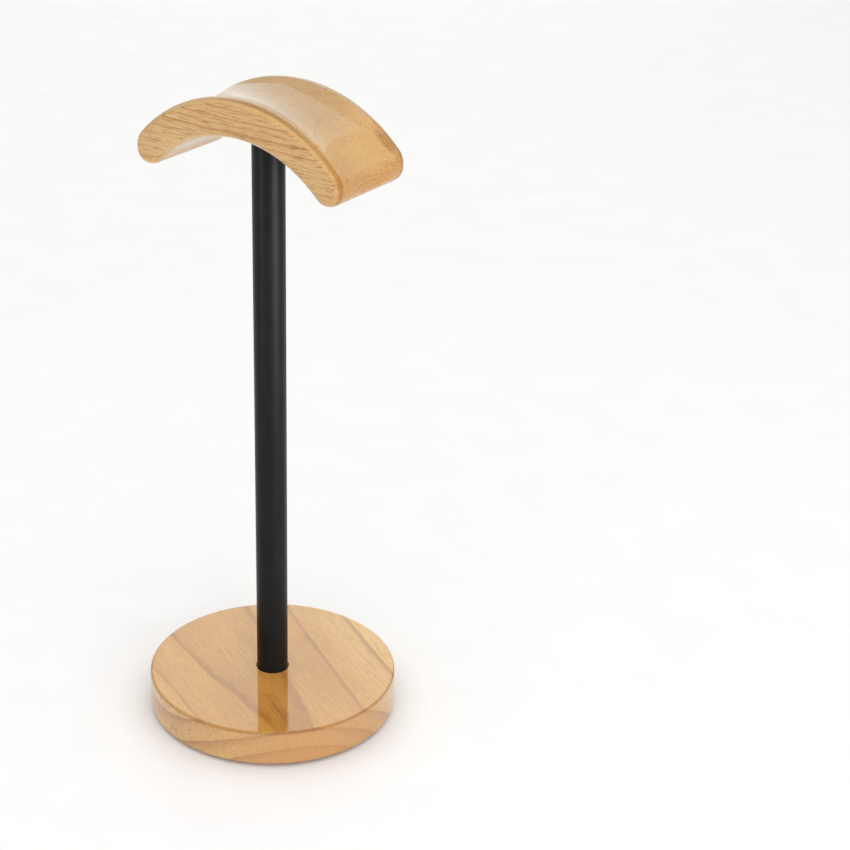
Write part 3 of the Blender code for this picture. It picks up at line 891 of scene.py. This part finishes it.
CAMERA_PLACE = Vector((0.5345, -0.6733, 0.5533))
CAMERA_TILT = math.radians(64.84)
CAMERA_TURN = math.radians(38.33)
CAMERA_ROLL = math.radians(-0.41)
CAMERA_LENS = 86.55
CAMERA_SENSOR = 36.0
CAMERA_SHIFT = 0.1773
WINDOW_BACK = 2.0  # how far behind the stand the window stands
WINDOW_CORNERS = [(1.07, 4.36), (-0.65, 0.02), (-2.70, 0.02), (-2.30, 2.34)]
WINDOW_TINT = (0.91, 1.01, 0.98)
WINDOW_GLOW = 1.31
ROOM_TINT = (1.0, 0.95, 0.88)
ROOM_GLOW = 0.55
FLOOR_RADIUS = 12.0
FLOOR_SIDES = 96


def build_camera():
    """The camera, from the photograph's angle."""
    camera = add_object("camera", bpy.data.cameras.new("camera"))
    camera.data.lens = CAMERA_LENS
    camera.data.sensor_width = CAMERA_SENSOR
    camera.data.shift_x = CAMERA_SHIFT
    turn = Euler((CAMERA_TILT, 0, CAMERA_TURN)).to_matrix().to_4x4()
    roll = Matrix.Rotation(CAMERA_ROLL, 4, "Z")
    camera.matrix_world = Matrix.Translation(CAMERA_PLACE) @ turn @ roll
    bpy.context.scene.camera = camera


def softbox(name, place, target, size, strength, mirrored=True, only=None):
    """A rectangular light panel aimed at a point; strength is its own brightness. A panel
    that isn't mirrored lights the set without showing in glossy surfaces, and one with an
    only piece is flagged off from everything else."""
    light = bpy.data.lights.new(name, "AREA")
    light.shape = "RECTANGLE"
    light.size, light.size_y = size
    light.energy = strength * size[0] * size[1] * math.pi
    panel = add_object(name, light)
    aim = (Vector(target) - Vector(place)).to_track_quat("-Z", "Y").to_matrix().to_4x4()
    panel.matrix_world = Matrix.Translation(place) @ aim
    panel.visible_camera = False
    panel.visible_glossy = mirrored
    if only:
        lit = bpy.data.collections.new(name + "_lit")
        lit.objects.link(only)
        panel.light_linking.receiver_collection = lit


def build_window():
    """A large cool panel behind the stand, cut on the slant, for the lacquer to mirror."""
    shader = Shader("window_glow")
    shader.set(
        Base_Color=(0.0, 0.0, 0.0, 1.0),
        Emission_Color=(*WINDOW_TINT, 1.0),
        Emission_Strength=WINDOW_GLOW,
    )
    mesh = bpy.data.meshes.new("window")
    mesh.from_pydata([(x, WINDOW_BACK, z) for x, z in WINDOW_CORNERS], [], [(0, 1, 2, 3)])
    mesh.materials.append(shader.material)
    window = add_object("window", mesh)
    window.visible_camera = False


def build_floor():
    """A wide, round, pale floor with a faint mottle."""
    shader = Shader("pale_floor")
    mottle = shader.noise(shader.millimetres(), (40.0, 40.0, 40.0), detail=3.0)
    shader.set(
        Base_Color=shader.mix(shader.ramp(mottle, 0.3, 0.7), FLOOR_WHITE, FLOOR_SHADE),
        Roughness=0.8,
        Specular_IOR_Level=0.2,
    )
    shape = bmesh.new()
    bmesh.ops.create_circle(shape, cap_ends=True, segments=FLOOR_SIDES, radius=FLOOR_RADIUS)
    mesh = mesh_from(shape, "floor")
    mesh.materials.append(shader.material)
    floor = add_object("floor", mesh)


def build_room():
    """A dim, warm surround."""
    world = bpy.data.worlds.new("soft_room")
    world.use_nodes = True
    background = world.node_tree.nodes["Background"]
    background.inputs["Color"].default_value = (*ROOM_TINT, 1.0)
    background.inputs["Strength"].default_value = ROOM_GLOW
    bpy.context.scene.world = world


def build_lights(post):
    """One broad panel overhead, two fills towards the camera's side, and a strip on each side
    of the post, which lights only the post and shows in it as a band."""
    softbox(
        "overhead", place=(0.0, 0.0, 3.5), target=(0, 0, 0),
        size=(8.0, 8.0), strength=0.78, mirrored=False,
    )
    softbox(
        "front_fill", place=(0.95, -1.85, 0.9), target=(0, 0, 0.2),
        size=(2.0, 1.4), strength=1.1, mirrored=False,
    )
    softbox(
        "right_fill", place=(1.3, -0.5, 0.5), target=(0, 0, 0.1),
        size=(1.2, 0.8), strength=2.1, mirrored=False,
    )
    softbox(
        "post_right", place=(0.494, -0.07, 0.40), target=(0, 0, 0.40),
        size=(0.32, 0.80), strength=7.5, only=post,
    )
    softbox(
        "post_left", place=(-0.11, -0.54, 0.40), target=(0, 0, 0.40),
        size=(0.22, 0.80), strength=2.6, only=post,
    )


def build_studio(post):
    """A pale seamless floor in a soft room, seen without any added contrast."""
    build_camera()
    build_room()
    build_floor()
    build_window()
    build_lights(post)
    view = bpy.context.scene.view_settings
    view.view_transform = "Standard"
    view.look = "None"


# --- the whole stand ----------------------------------------------------------------------------

def build_stand():
    """Adds all the pieces, and returns the post, which has lights of its own."""
    zinc = turned_metal("zinc_plate", ZINC_GREY, ZINC_YELLOWED, mark_spacing=0.10)
    brass = turned_metal("turned_brass", BRASS_YELLOW, BRASS_DULLED, mark_spacing=0.12)
    rubber = foam()
    build_base(base_wood())
    for index in range(PAD_COUNT):
        build_pad(index + 1, rubber)
    post = build_post(powder_coat())
    build_screw(zinc)
    build_flat_washer(zinc)
    build_split_washer(zinc)
    build_plug("lower_plug", "lower_tube_plug", zinc)
    build_plug("upper_plug", "upper_tube_plug", zinc)
    build_stud(zinc)
    build_insert(brass)
    build_saddle(saddle_wood())
    return post


build_studio(build_stand())
